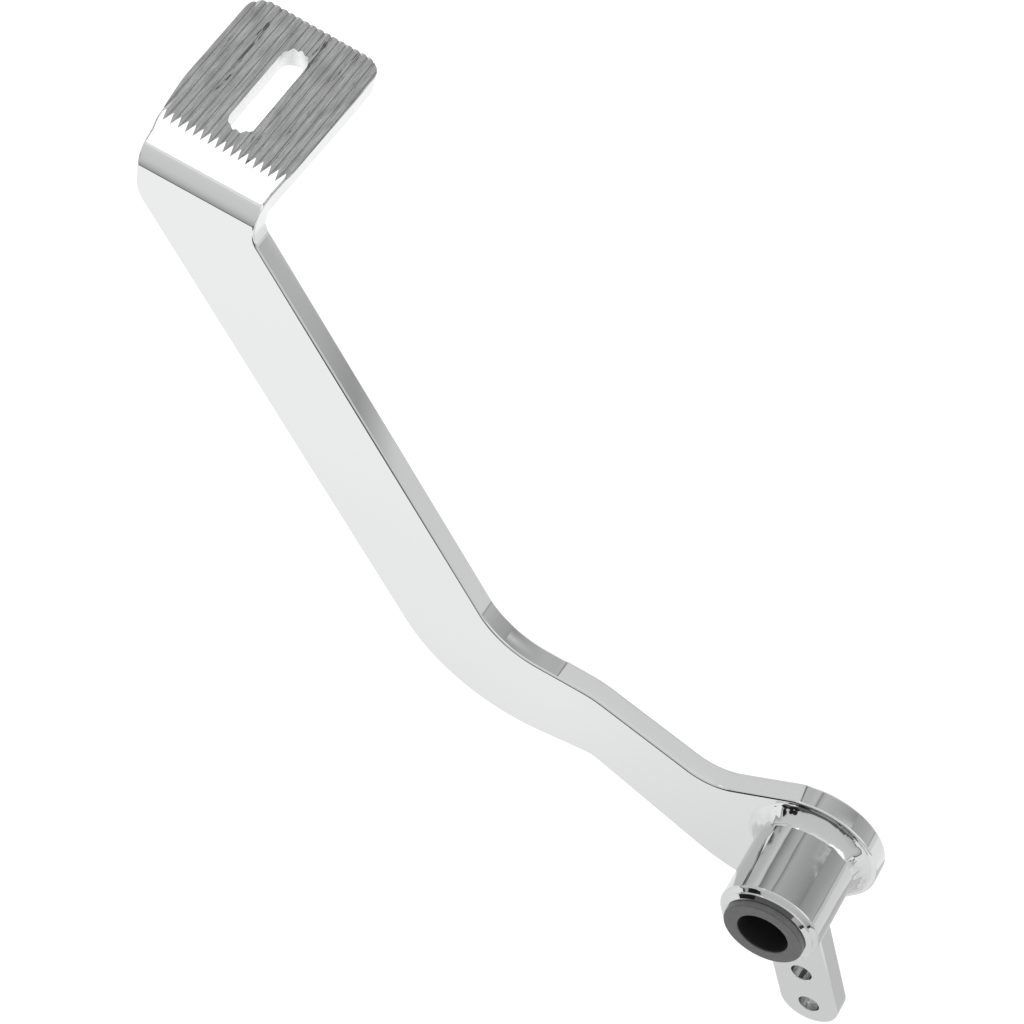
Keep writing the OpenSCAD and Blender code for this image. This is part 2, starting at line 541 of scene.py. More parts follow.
@dataclass(frozen=True)
class BrightPlating:
    """Bright plating over polished steel, with hazy patches and faint waviness.

    Args:
        name: The material's name.
        tint: Reflected colour.
        rough: Roughness of clean plating.
        haze: Extra roughness in the hazy patches.
        haze_scale: How fine the patches are, per metre.
        haze_range: Noise values between which the haze rises.
        wave: Height of the waviness left by hand polishing, in metres.
        wave_scale: How fine that waviness is, per metre.
        stretch: Scale of the waviness along each axis, on top of wave_scale.
        streaks: Thin dark streaks, where there are any.
    """

    name: str
    tint: Point3 = (0.6, 0.603, 0.605)
    rough: float = 0.035
    haze: float = 0.035
    haze_scale: float = 38.0
    haze_range: Point2 = (0.35, 0.75)
    wave: float = 0.00002
    wave_scale: float = 26.0
    stretch: Point3 = (1.0, 1.0, 1.0)
    streaks: DarkStreaks | None = None

    def build(self) -> bpy.types.Material:
        """Makes the material.

        Returns:
            The new material.
        """
        mat, tree, shader = new_material(self.name)
        place = tree.nodes.new("ShaderNodeTexCoord").outputs["Object"]
        colour: object = (*self.tint, 1)
        if self.streaks is not None:
            colour = self.streaks.colour(tree, place, self.tint)
        patches = add_node(
            tree, "ShaderNodeTexNoise", Vector=place, Scale=self.haze_scale, Detail=5.0, Roughness=0.6
        )
        low, high = self.haze_range
        rough = ramp(tree, patches.outputs["Fac"], [(low, self.rough), (high, self.rough + self.haze)])
        waves = grain(tree, place, self.stretch, Scale=self.wave_scale, Detail=1.5)
        bump = add_node(tree, "ShaderNodeBump", Height=waves, Strength=1.0, Distance=self.wave)
        join(tree, colour, shader.inputs["Base Color"])
        join(tree, 1.0, shader.inputs["Metallic"])
        join(tree, rough, shader.inputs["Roughness"])
        join(tree, bump.outputs["Normal"], shader.inputs["Normal"])
        return mat


@dataclass(frozen=True)
class BushResin:
    """Dark grey self-lubricating bush resin: satin, faintly mottled, fine turned grain.

    Args:
        name: The material's name.
        dark: The darker grey.
        pale: The paler grey.
        rough: Its roughness in the darker spots.
        rough_rise: How much rougher the paler spots are.
        mottle_scale: How fine the mottling is, per metre.
        grain_height: Height of the turned grain, in metres.
    """

    name: str
    dark: float = 0.085
    pale: float = 0.125
    rough: float = 0.42
    rough_rise: float = 0.14
    mottle_scale: float = 420.0
    grain_height: float = 0.00003

    def build(self) -> bpy.types.Material:
        """Makes the material.

        Returns:
            The new material.
        """
        mat, tree, shader = new_material(self.name)
        place = tree.nodes.new("ShaderNodeTexCoord").outputs["Object"]
        spots = add_node(
            tree, "ShaderNodeTexNoise", Vector=place, Scale=self.mottle_scale, Detail=6.0, Roughness=0.65
        )
        mottle = spots.outputs["Fac"]
        colour = ramp(tree, mottle, [(0.35, self.dark), (0.7, self.pale)])
        rough = ramp(tree, mottle, [(0.3, self.rough), (0.8, self.rough + self.rough_rise)])
        bump = add_node(tree, "ShaderNodeBump", Height=mottle, Strength=0.5, Distance=self.grain_height)
        join(tree, colour, shader.inputs["Base Color"])
        join(tree, 0.0, shader.inputs["Metallic"])
        join(tree, 0.45, shader.inputs["Specular IOR Level"])
        join(tree, rough, shader.inputs["Roughness"])
        join(tree, bump.outputs["Normal"], shader.inputs["Normal"])
        return mat


# The pedal


class Patch(IntEnum):
    """Material places of the arm, in the order in which its finishes are added."""

    PLATE = 0
    GROOVE = 1
    HOLE = 2
    ROOT = 3
    SLOT = 4


@dataclass
class ArmPlate:
    """The bent bar: boss, neck, elbow, straight stretch, rod lug and folded foot pad.

    It is drawn as a flat pattern in the plane of the arm, with the fold and the pad unrolled
    above the arm, and then bent. Sizes are in millimetres and degrees. They are the solid's own,
    apart from the eased edges, the lean of the neck's edge, and the start, run-out and root of
    the grooves, which are finish.
    """

    thick: float = 8.6
    ease: float = 0.85
    neck_ease: float = 1.0
    ease_rise: Point2 = (14.0, 40.0)
    ease_fall: Point2 = (98.0, 108.0)
    arm_w: float = 38.0
    climb: float = 50.0
    reach: float = 90.0
    elbow_inner_r: float = 34.0
    elbow_outer_r: float = 65.0
    elbow_z: float = 16.5
    elbow_drop: float = 22.4
    crest_r: float = 30.0
    crest_clear: float = 4.5
    notch: Point2 = (86.0, 32.5)
    notch_r: float = 9.0
    belly_slope: float = 20.0
    belly_z: float = -39.3
    belly_r: float = 60.0
    boss_r: float = 25.4
    brace_slope: float = 33.5
    neck_slope: float = 15.0
    neck_start: Point2 = (45.0, 3.7)
    neck_r: float = 22.0
    neck_step: float = 0.5
    neck_marks: int = 24
    neck_facing: float = 0.2
    neck_top: float = 40.0
    heel_slope: float = 11.0
    lug_lean: float = 24.5
    lug_w: float = 24.0
    lug_offset: float = 16.55
    lug_len: float = 112.2
    lug_root_r: float = 9.0
    hole_r: float = 4.2
    hole_along: Point2 = (81.6, 101.3)
    hole_ease: float = 0.35
    hole_segments: int = 72
    flank_r: float = 40.0
    pad_z: float = 171.3
    fold_inner_r: float = 3.0
    fold_outer_r: float = 7.0
    fold_x: float = 250.9
    fold_w: float = 44.9
    fold_flare: float = 2.6
    fold_flare_run: float = 1.25
    fold_draw: float = 0.8
    pad_w: float = 51.7
    pad_reach: float = 84.0
    pad_corner_r: float = 7.5
    pad_skew: float = 0.8
    pad_flare: Point2 = (3.6, 4.5)
    pad_flare_r: float = 14.0
    pad_toe_bend: Point2 = (37.0, 50.0)
    pad_hub_bend: Point2 = (62.0, 60.0)
    end_skew: float = 1.5
    toe_r: float = 16.0
    hub_fillet: float = 9.0
    tube_r: float = 19.0
    tube_hole_ease: float = 0.02
    groove_n: int = 17
    groove_pitch: float = 2.87
    groove_d: float = 1.2
    groove_crest: float = 0.01
    groove_root: float = 0.3
    groove_root_d: float = 0.05
    groove_start: float = 17.1
    groove_lead: float = 0.3
    groove_runout: float = 4.6
    groove_shift: float = 1.1
    slot_w: float = 9.6
    slot_len: float = 42.5
    slot_start: float = 28.1
    draft: float = 0.5
    draft_rise: Point2 = (9.0, 12.0)
    draft_fall: Point2 = (106.0, 109.0)
    arc_step: float = 2.0
    corner_step: float = 3.0
    tight_step: float = 4.0
    slot_step: float = 5.0
    fold_steps: int = 24
    ease_steps: int = 6
    rim_steps: int = 4
    crease: float = 36.0
    skin_crease: float = 40.0
    channel_crease: float = 20.0
    finish: BrightPlating = field(default_factory=lambda: BrightPlating("plated bar"))
    groove_finish: BrightPlating = field(
        default_factory=lambda: BrightPlating(
            "plated grooves",
            tint=(0.68, 0.683, 0.685),
            rough=0.12,
            haze=0.05,
            wave=0.00005,
            wave_scale=1.0,
            stretch=(420.0, 22.0, 60.0),
            streaks=DarkStreaks(),
        )
    )
    wall_finish: BrightPlating = field(
        default_factory=lambda: BrightPlating(
            "plated hole walls",
            tint=(0.62, 0.622, 0.625),
            rough=0.12,
            haze=0.08,
            wave=0.0002,
            wave_scale=420.0,
            streaks=DarkStreaks(),
        )
    )
    # Painted shade: the groove roots take a dark plating that darkens the valley line of each groove.
    root_shade_finish: BrightPlating = field(
        default_factory=lambda: BrightPlating(
            "groove roots with painted shade", tint=(0.22, 0.222, 0.225), rough=0.3, haze=0.2, wave_scale=300.0
        )
    )
    # Painted light: the slot walls take a paler, rougher plating, as if lit through the slot from below.
    slot_light_finish: BrightPlating = field(
        default_factory=lambda: BrightPlating(
            "slot walls with painted light", tint=(0.8, 0.802, 0.805), rough=0.4, haze=0.15
        )
    )

    def __post_init__(self) -> None:
        """Works out the fold's radii and the frames that the outline uses."""
        self.fold_reach = self.fold_inner_r + self.thick
        self.fold_z = self.pad_z - self.fold_reach
        self.fold_flat = self.fold_reach - self.fold_outer_r
        self.fold_len = 2 * self.fold_flat + self.fold_outer_r * math.pi / 2
        self.along = heading(-90 - self.lug_lean)
        self.across = heading(-self.lug_lean)
        self.upward = heading(self.climb)
        self.forward = heading(self.climb - 90)
        self.mid_x = self.fold_x - self.pad_skew + self.pad_w / 2

    def lug_point(self, across: float, along: float) -> Vector:
        """A point given across and along the lug, from the pivot axis."""
        return self.across * across + self.along * along

    def pattern_s(self, reach: float) -> float:
        """Height on the flat pattern of a pad point that lies this far outboard."""
        return self.fold_z + self.fold_len + reach - self.fold_reach

    def lower_part(self) -> list[Vector]:
        """Outline from the lug round the belly, notch and heel to the toe side of the fold.

        Returns:
            The outline's points, in order.
        """
        step = self.arc_step
        tip = self.lug_point(self.lug_offset, self.lug_len - self.lug_w / 2)
        front = self.lug_offset + self.lug_w / 2
        neck = Vector(self.neck_start)
        notch_top = neck.y + (self.notch[0] - neck.x) * math.tan(math.radians(self.neck_slope))
        notch = Vector((self.notch[0], notch_top - self.notch[1]))
        low = Vector((0, self.belly_z))
        belly = meet(notch, heading(self.belly_slope), low, LEVEL)
        root = meet(low, LEVEL, self.lug_point(front, 0), self.along)
        toe = self.forward * (self.reach + self.arm_w)
        heel_row = Vector((0, self.elbow_outer_r - self.elbow_drop))
        heel_c = meet(heel_row, LEVEL, toe - self.forward * self.elbow_outer_r, self.upward)
        heel = heel_c + self.elbow_outer_r * heading(-90 - self.heel_slope)
        toe_x = self.fold_x + self.fold_w
        toe_corner = meet(toe, self.upward, Vector((toe_x, 0)), UPRIGHT)
        toe_end = Vector((toe_x, self.fold_z))
        lug_end = self.lug_point(front, self.lug_len)
        return [
            *arc(tip, self.lug_w / 2, 180 - self.lug_lean, 360 - self.lug_lean, self.tight_step),
            *corner(lug_end, root, belly, self.lug_root_r, self.tight_step),
            *corner(root, belly, notch, self.belly_r, step),
            *corner(belly, notch, heel, self.notch_r, self.corner_step),
            *arc(heel_c, self.elbow_outer_r, -90 - self.heel_slope, self.climb - 90, step),
            *corner(toe, toe_corner, toe_end, self.toe_r, self.corner_step),
        ]

    def upper_part(self) -> list[Vector]:
        """Outline from the hub side of the fold along the neck and round the boss to the lug.

        Returns:
            The outline's points, in order.
        """
        step = self.arc_step
        hub = self.forward * self.reach
        neck = Vector(self.neck_start)
        brace = self.boss_r * heading(90 - self.brace_slope)
        neck_corner = meet(brace, heading(-self.brace_slope), neck, heading(self.neck_slope))
        top = Vector((0, self.elbow_z))
        elbow = meet(top, LEVEL, hub, self.upward)
        crest = meet(neck, heading(self.neck_slope), top, LEVEL)
        arc_c = self.hub_arc()
        start = -math.degrees(math.asin((arc_c.y - self.fold_z) / self.hub_fillet))
        hub_corner = meet(hub, self.upward, Vector((self.fold_x, 0)), UPRIGHT)
        gap = self.lug_offset - self.lug_w / 2 - self.flank_r
        flank_along = math.sqrt((self.boss_r + self.flank_r) ** 2 - gap**2)
        flank_c = self.lug_point(gap, flank_along)
        flank_a = math.degrees(math.atan2(flank_c.y, flank_c.x)) + 360
        return [
            *arc(arc_c, self.hub_fillet, start, self.climb - 90, self.tight_step)[1:],
            *corner(hub_corner, elbow, crest, self.elbow_inner_r, step),
            *self.neck_run(elbow, crest),
            *corner(elbow, crest, neck, self.crest_r, step),
            *corner(neck, neck_corner, brace, self.neck_r, step),
            *arc(Vector((0, 0)), self.boss_r, 90 - self.brace_slope, flank_a, step),
            *arc(flank_c, self.flank_r, flank_a - 180, -self.lug_lean, step),
        ]

    def neck_run(self, elbow: Vector, crest: Vector) -> list[Vector]:
        """Closely set points on the level stretch between the elbow and the crest.

        Args:
            elbow: The corner of the elbow.
            crest: The corner of the crest.

        Returns:
            The points, from the elbow towards the crest.
        """
        start = elbow.x - self.elbow_inner_r * math.tan(math.radians(self.climb / 2)) - self.neck_step
        points = [Vector((start - i * self.neck_step, elbow.y)) for i in range(self.neck_marks)]
        return [p for p in points if p.x > crest.x + self.crest_clear]

    def fold_rows(self) -> list[float]:
        """Heights on the flat pattern where the fold is stepped.

        Returns:
            The heights, from the arm to the pad.
        """
        flat, n = self.fold_flat, self.fold_steps
        turn = self.fold_len - 2 * flat
        inner = [self.fold_z + flat + turn * i / n for i in range(n + 1)]
        return [self.fold_z, self.fold_z + flat / 2, *inner, inner[-1] + flat / 2, inner[-1] + flat]

    def toe_x(self, s: float) -> float:
        """Toe side of the fold, which widens smoothly towards the pad.

        Args:
            s: Height on the flat pattern.

        Returns:
            The way forward of the side.
        """
        t = (s - self.fold_z) / self.fold_len
        return self.fold_x + self.fold_w + self.fold_flare * smoothstep(0.0, self.fold_flare_run, t)

    def hub_x(self, s: float) -> float:
        """Hub side of the fold, drawn in a little towards the pad.

        Args:
            s: Height on the flat pattern.

        Returns:
            The way forward of the side.
        """
        t = (s - self.fold_z) / self.fold_len
        x = self.fold_x + self.fold_draw * smoothstep(0.0, 1.0, t)
        centre = self.hub_arc()
        if s < centre.y:
            x = min(x, centre.x + math.sqrt(max(0.0, self.hub_fillet**2 - (s - centre.y) ** 2)))
        return x

    def hub_arc(self) -> Vector:
        """Where the round that leads from the arm's upper edge into the fold's hub side turns.

        Returns:
            The round's centre.
        """
        edge = self.forward * (self.reach - self.hub_fillet)
        return meet(edge, self.upward, Vector((self.fold_x - self.hub_fillet, 0)), UPRIGHT)

    def pad_part(self) -> list[Vector]:
        """Outline of the unrolled pad, from its toe side round its far end to its hub side.

        Returns:
            The outline's points, in order.
        """
        s = self.pattern_s
        hub = self.fold_x - self.pad_skew
        toe = hub + self.pad_w
        base = self.fold_reach
        flare_out, flare_up = self.pad_flare
        toe_bend, toe_bend_r = self.pad_toe_bend
        hub_bend, hub_bend_r = self.pad_hub_bend
        plan = [
            (self.toe_x(s(base)), s(base), 0.0),
            (self.fold_x + self.fold_w + flare_out, s(base + flare_up), self.pad_flare_r),
            (toe, s(toe_bend), toe_bend_r),
            (toe, s(self.pad_reach), self.pad_corner_r),
            (hub, s(self.pad_reach - self.end_skew), self.pad_corner_r),
            (hub, s(hub_bend), hub_bend_r),
            (self.hub_x(s(base)), s(base), 0.0),
        ]
        pts = [Vector(p[:2]) for p in plan]
        out: list[Vector] = []
        for i in range(1, len(plan) - 1):
            out += corner(pts[i - 1], pts[i], pts[i + 1], plan[i][2], self.corner_step)
        return out

    def pattern(self) -> list[Vector]:
        """The whole flat outline.

        Returns:
            Its points, counterclockwise.
        """
        rows = self.fold_rows()
        toe = [Vector((self.toe_x(s), s)) for s in rows]
        hub = [Vector((self.hub_x(s), s)) for s in reversed(rows)]
        return [*self.lower_part(), *toe, *self.pad_part(), *hub, *self.upper_part()]

    def bend(self, x: float, s: float, depth: float) -> Vector:
        """Bends a point of the flat pattern into place.

        Args:
            x: Way forward.
            s: Height on the flat pattern.
            depth: Depth under the inboard face and tread face.

        Returns:
            The point in the part's frame, in metres.
        """
        run = s - self.fold_z
        if run <= 0:
            return Vector((x, -depth, s)) * MM
        if s >= self.fold_z + self.fold_len:
            out = s - self.fold_z - self.fold_len + self.fold_reach
            return Vector((x, -out, self.pad_z - depth)) * MM
        arc_len = self.fold_len - 2 * self.fold_flat
        turn = min(max(run - self.fold_flat, 0.0), arc_len) / self.fold_outer_r
        rise = min(run, self.fold_flat)
        level = max(0.0, run - self.fold_flat - arc_len)
        r = self.fold_outer_r
        outer = Vector((-r + r * math.cos(turn) - level, self.fold_z + rise + r * math.sin(turn)))
        share = run / self.fold_len * math.pi / 2
        r = self.fold_inner_r
        inner = Vector((-self.fold_reach + r * math.cos(share), self.fold_z + r * math.sin(share)))
        at = outer.lerp(inner, depth / self.thick)
        return Vector((x, at.x, at.y)) * MM

    def on_neck(self, p: Vector, away: Vector) -> bool:
        """Whether an outline point lies on the upper edge of the neck or near it."""
        return away.y >= self.neck_facing and p.y <= self.neck_top

    def neck_lean(self, p: Vector, away: Vector) -> float:
        """How far the upper edge of the neck leans out at the outboard face.

        Args:
            p: A point of the outline.
            away: The outward way there.

        Returns:
            The lean.
        """
        if not self.on_neck(p, away):
            return 0.0
        rise = smoothstep(*self.draft_rise, p.x)
        return self.draft * rise * (1 - smoothstep(*self.draft_fall, p.x))

    def edge_ease(self, p: Vector, away: Vector) -> float:
        """Rounding of the edge: the upper edge of the neck is polished rounder.

        Args:
            p: A point of the outline.
            away: The outward way there.

        Returns:
            The rounding's radius.
        """
        if not self.on_neck(p, away):
            return self.ease
        share = smoothstep(*self.ease_rise, p.x) * (1 - smoothstep(*self.ease_fall, p.x))
        return self.ease + (self.neck_ease - self.ease) * share

    def blank(self) -> bpy.types.Object:
        """The bent bar with eased edges, before its holes and grooves are cut.

        Returns:
            The new object.
        """
        outline = self.pattern()
        away = outward(outline)
        lean = [self.neck_lean(p, w) for p, w in zip(outline, away)]
        eases = [self.edge_ease(p, w) for p, w in zip(outline, away)]
        turns = [math.pi / 2 * i / self.ease_steps for i in range(self.ease_steps + 1)]
        rows = [(1 - math.sin(a), 1 - math.cos(a), False) for a in turns]
        rows += [(inset, depth, True) for inset, depth, _ in reversed(rows)]
        bm = bmesh.new()
        loops = []
        for inset, rise, far in rows:
            loop = []
            for p, w, k, e in zip(outline, away, lean, eases):
                depth = self.thick - e * rise if far else e * rise
                moved = p - w * (e * inset - k * depth / self.thick)
                loop.append(bm.verts.new(self.bend(*moved, depth)))
            loops.append(loop)
        bridge(bm, loops)
        self.close_faces(bm, loops[0])
        self.close_faces(bm, loops[-1])
        return finish_mesh("arm_plate_skin", bm, self.skin_crease)

    def close_faces(self, bm: bmesh.types.BMesh, loop: Sequence[bmesh.types.BMVert]) -> None:
        """Closes one broad side: the arm as one face, the fold in strips, the pad as one face.

        Args:
            bm: The mesh.
            loop: The side's rim, in the order of the flat outline.
        """
        n = len(self.fold_rows()) - 1
        toe_first = len(self.lower_part())
        hub_first = toe_first + n + 1 + len(self.pad_part())
        toe = [loop[toe_first + i] for i in range(n + 1)]
        hub = [loop[hub_first + n - i] for i in range(n + 1)]
        for i in range(n):
            bm.faces.new((toe[i], toe[i + 1], hub[i + 1], hub[i]))
        bm.faces.new([loop[i] for i in range(toe_first + n, hub_first + 1)])
        bm.faces.new([*loop[hub_first + n :], *loop[: toe_first + 1]])

    def hole_cutter(self, centre: Vector, radius: float, ease: float) -> bpy.types.Object:
        """A cutter for a round hole through the arm, with eased rims.

        Args:
            centre: The hole's centre in the plane of the arm.
            radius: Its radius.
            ease: The rounding of its rims.

        Returns:
            The cutter.
        """
        over = 2.0
        rim: list[Point2] = []
        for i in range(self.rim_steps + 1):
            a = math.pi / 2 * i / self.rim_steps
            rim.append((radius + ease - ease * math.sin(a), ease - ease * math.cos(a)))
        far_rim = [(r, self.thick - d) for r, d in reversed(rim)]
        profile = [(radius + ease, -over), *rim, *far_rim, (radius + ease, self.thick + over)]
        bm = bmesh.new()
        loops = []
        for r, d in profile:
            ring = []
            for k in range(self.hole_segments):
                p = centre + heading(360 * k / self.hole_segments) * r
                ring.append(bm.verts.new(Vector((p.x, -d, p.y)) * MM))
            loops.append(ring)
        bridge(bm, loops)
        bm.faces.new(loops[0])
        bm.faces.new(loops[-1])
        return finish_mesh("hole_cutter", bm, self.skin_crease)

    def groove_section(self, x: float, share: float) -> list[Point2]:
        """Section of one groove: a V with a narrow root, open well above the tread face.

        Args:
            x: Way forward of the groove's middle.
            share: How much of its depth it has here, from 0 at its tip to 1.

        Returns:
            The section's points as (way forward, height).
        """
        lift, over = 0.001, 1.5
        least_half, least_depth, least_root = 0.02, 0.01, 0.05
        half = (self.groove_pitch - self.groove_crest) / 2
        top = self.pad_z + lift
        w = max(half * share, least_half)
        d = max((self.groove_d + lift) * share, least_depth)
        root = self.groove_root / 2 * max(share, least_root)
        low = top - d - self.groove_root_d * share
        shoulder = top - d * (1 - root / w)
        return [
            (x - root, low),
            (x + root, low),
            (x + root, shoulder),
            (x + w, top),
            (x + w, top + over),
            (x - w, top + over),
            (x - w, top),
            (x - root, shoulder),
        ]

    def groove_cutter(self) -> bpy.types.Object:
        """All tread grooves as one cutter: V channels that rise to a point towards the fold.

        One more channel than the solid has runs along the hub side, half over the pad's edge.

        Returns:
            The cutter.
        """
        bm = bmesh.new()
        over = 4.0
        start = -self.groove_start
        rows = (
            (start + self.groove_lead, 0.0),
            (start - self.groove_runout, 1.0),
            (-self.pad_reach - over, 1.0),
        )
        first = self.mid_x + self.groove_shift - self.groove_pitch * (self.groove_n - 1) / 2
        for i in range(-1, self.groove_n):
            x = first + i * self.groove_pitch
            rings = []
            for y, share in rows:
                section = self.groove_section(x, share)
                rings.append([bm.verts.new(Vector((px, y, pz)) * MM) for px, pz in section])
            bridge(bm, rings)
            bm.faces.new(rings[0])
            bm.faces.new(rings[-1])
        return finish_mesh("groove_cutter", bm, self.channel_crease)

    def slot_cutter(self) -> bpy.types.Object:
        """A cutter for the long hole through the pad.

        Returns:
            The cutter.
        """
        r, over = self.slot_w / 2, 3.0
        near, far = -(self.slot_start + r), -(self.slot_start + self.slot_len - r)
        ends = [
            *arc(Vector((self.mid_x, near)), r, 0, 180, self.slot_step),
            *arc(Vector((self.mid_x, far)), r, 180, 360, self.slot_step),
        ]
        bm = bmesh.new()
        low, high = (
            [bm.verts.new(Vector((p.x, p.y, z)) * MM) for p in ends]
            for z in (self.pad_z - self.thick - over, self.pad_z + over)
        )
        bridge(bm, [low, high])
        bm.faces.new(low)
        bm.faces.new(high)
        return finish_mesh("slot_cutter", bm, self.channel_crease)

    def patch(self, at: Vector, way: Vector) -> Patch:
        """Which finish a face takes: grooves, slot and pin holes have their own.

        Args:
            at: The face's middle, in millimetres.
            way: The way that it faces.

        Returns:
            The face's patch.
        """
        groove_low, groove_high, root_high, lug_top, rim = 2.0, 0.01, 0.3, -60.0, 0.5
        sideways, rising, level, upright = 0.5, 0.3, 0.95, 0.1
        in_tread = self.pad_z - groove_low < at.z < self.pad_z - groove_high
        in_grooves = at.y < -self.groove_start and in_tread
        if in_grooves and abs(way.y) < sideways and way.z > rising:
            in_root = way.z > level and at.z < self.pad_z - root_high
            return Patch.ROOT if in_root else Patch.GROOVE
        if abs(way.z) < upright and at.z > self.pad_z - self.thick and self.in_slot(at):
            return Patch.SLOT
        if abs(way.y) < upright and at.z < lug_top:
            spot = Vector((at.x, at.z))
            holes = [self.lug_point(self.lug_offset, along) for along in self.hole_along]
            if min((spot - hole).length for hole in holes) < self.hole_r + rim:
                return Patch.HOLE
        return Patch.PLATE

    def in_slot(self, at: Vector) -> bool:
        """Whether a point lies on the outline of the slot or inside it.

        Args:
            at: The point, in millimetres.

        Returns:
            True where it does.
        """
        slack = 0.05
        half = self.slot_len / 2
        across, along = abs(at.x - self.mid_x), abs(at.y + self.slot_start + half)
        return across < self.slot_w / 2 + slack and along < half + slack

    def build(self) -> bpy.types.Object:
        """Makes the arm, cuts its holes, slot and grooves, and dresses it.

        Returns:
            The dressed piece.
        """
        obj = self.blank()
        holes = [self.hole_cutter(Vector((0, 0)), self.tube_r, self.tube_hole_ease)]
        for along in self.hole_along:
            centre = self.lug_point(self.lug_offset, along)
            holes.append(self.hole_cutter(centre, self.hole_r, self.hole_ease))
        cut(obj, [*holes, self.slot_cutter(), self.groove_cutter()])
        even_shading(obj, self.crease)
        finishes = {
            Patch.PLATE: self.finish,
            Patch.GROOVE: self.groove_finish,
            Patch.HOLE: self.wall_finish,
            Patch.ROOT: self.root_shade_finish,
            Patch.SLOT: self.slot_light_finish,
        }
        obj.data.materials.clear()
        for place in Patch:
            obj.data.materials.append(finishes[place].build())
        for face in obj.data.polygons:
            face.material_index = self.patch(face.center / MM, face.normal)
        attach(obj, BODY)
        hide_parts("arm_plate")
        return obj


@dataclass
class PivotTube:
    """The turned tube: flush outboard, with a stepped and bevelled free end. Millimetres."""

    radius: float = 19.0
    reach: float = 37.6
    bevel: float = 1.5
    thick: float = 8.6
    seat_r: float = 11.75
    relief_r: float = 10.65
    bush_len: float = 17.0
    face_r: float = 15.8
    segments: int = 192
    crease: float = 35.0
    # Painted shade: the tube's plating has a darker tint than the bar's, which darkens its reflections.
    finish: BrightPlating = field(
        default_factory=lambda: BrightPlating(
            "plated tube with painted shade",
            tint=(0.5, 0.503, 0.505),
            wave=0.0002,
            wave_scale=1.0,
            stretch=(110.0, 60.0, 110.0),
        )
    )

    def profile(self) -> list[Point2]:
        """The tube's closed section, with eased corners.

        Returns:
            Its points as (radius, way along the pivot axis).
        """
        step_r = self.radius - (self.radius - self.face_r) / 2
        top, low = self.reach, -self.thick
        return eased_profile(
            [
                (self.seat_r, low, 0.25),
                (self.radius, low, 0.5),
                (self.radius, top - 2 * self.bevel, 1.6),
                (step_r, top - self.bevel * 1.05, 0.5),
                (step_r, top - self.bevel * 0.75, 0.25),
                (self.face_r, top, 0.6),
                (self.seat_r, top, 0.2),
                (self.seat_r, top - self.bush_len, 0.0),
                (self.relief_r, top - self.bush_len, 0.0),
                (self.relief_r, low + self.bush_len, 0.0),
                (self.seat_r, low + self.bush_len, 0.0),
            ]
        )

    def build(self) -> bpy.types.Object:
        """Makes and dresses the tube.

        Returns:
            The dressed piece.
        """
        obj = turned("pivot_tube_skin", self.profile(), self.segments, self.crease)
        even_shading(obj, self.crease)
        obj.data.materials.append(self.finish.build())
        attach(obj, BODY)
        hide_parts("pivot_tube")
        return obj


@dataclass
class WeldBead:
    """The plated fillet weld at the tube's foot, with its ripples. Millimetres."""

    tube_r: float = 19.0
    height: float = 6.2
    width: float = 5.0
    sink: float = 0.3
    hollow: float = 0.13
    bulge: float = 0.06
    ripples: int = 70
    ripple: float = 0.02
    lump: float = 0.15
    wander: float = 0.5
    rows: int = 26
    segments: int = 960
    crease: float = 50.0
    slow_scale: float = 1.7
    quick_scale: float = 5.5
    fine_scale: float = 24.0
    zone_scale: float = 2.6
    # Painted shade: the weld's plating has a darker tint than the bar's, which darkens its reflections.
    finish: BrightPlating = field(
        default_factory=lambda: BrightPlating(
            "plated weld with painted shade", tint=(0.55, 0.553, 0.555), rough=0.05, wave=0.00003, wave_scale=160.0
        )
    )

    def outer(self, t: float) -> Point2:
        """A point of the bead's face.

        Args:
            t: 0 at the arm to 1 at the tube.

        Returns:
            Distance out from the tube and height over the arm, as shares of width and height.
        """
        dip = self.hollow * math.sin(math.pi * t)
        swell = self.bulge * math.sin(2 * math.pi * t)
        return 1 - t - dip + swell, t - dip - swell

    def profile(self) -> list[Point2]:
        """The bead's closed section before its ripples.

        Returns:
            Its points as (radius, way along the pivot axis).
        """
        face = [self.outer(i / self.rows) for i in range(self.rows + 1)]
        inner = self.tube_r - self.sink
        return [
            (inner, -self.sink),
            *[(self.tube_r + self.width * u, self.height * max(v, 0.0)) for u, v in face],
            (inner, self.height),
        ]

    @staticmethod
    def sample(a: float, scale: float, place: float) -> float:
        """Noise that closes on itself round the tube, for a turn angle, a scale and a place."""
        return noise.noise(Vector((math.cos(a) * scale, math.sin(a) * scale, place)))

    def ripple_point(self, a: float, r: float, y: float) -> Point2:
        """Adds the bead's lumps, ripples and uneven toes to one profile point.

        Args:
            a: The turn angle, in radians.
            r: The point's radius.
            y: Its way along the pivot axis.

        Returns:
            The moved point as (radius, way along the pivot axis).
        """
        if r <= self.tube_r - self.sink + 1e-6:
            return r, y
        out = (r - self.tube_r) / self.width
        up = y / self.height
        slow = self.sample(a, self.slow_scale, 3.7)
        quick = self.sample(a, self.quick_scale, 9.1 + 1.2 * up)
        fine = self.sample(a, self.fine_scale, 4.0 + 2.5 * up)
        zone = smoothstep(0.02, 0.3, self.sample(a, self.zone_scale, 6.6))
        crest = abs(math.sin(a * self.ripples / 2 + quick * 4 + 1.2 * up)) ** 0.7
        lift = self.lump * (quick + 0.05 * fine) + self.ripple * zone * (crest - 0.6)
        lift *= math.sin(math.pi * min(1.0, max(0.0, up * 0.8 + 0.1)))
        return (
            r + lift + self.wander * (slow * out + 0.45 * quick * out),
            y + lift + self.wander * (0.9 * quick + slow) * up,
        )

    def build(self) -> bpy.types.Object:
        """Makes and dresses the bead.

        Returns:
            The dressed piece.
        """
        obj = turned(
            "weld_bead_skin", self.profile(), self.segments, self.crease, self.ripple_point
        )
        obj.data.materials.append(self.finish.build())
        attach(obj, BODY)
        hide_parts("weld_bead")
        return obj


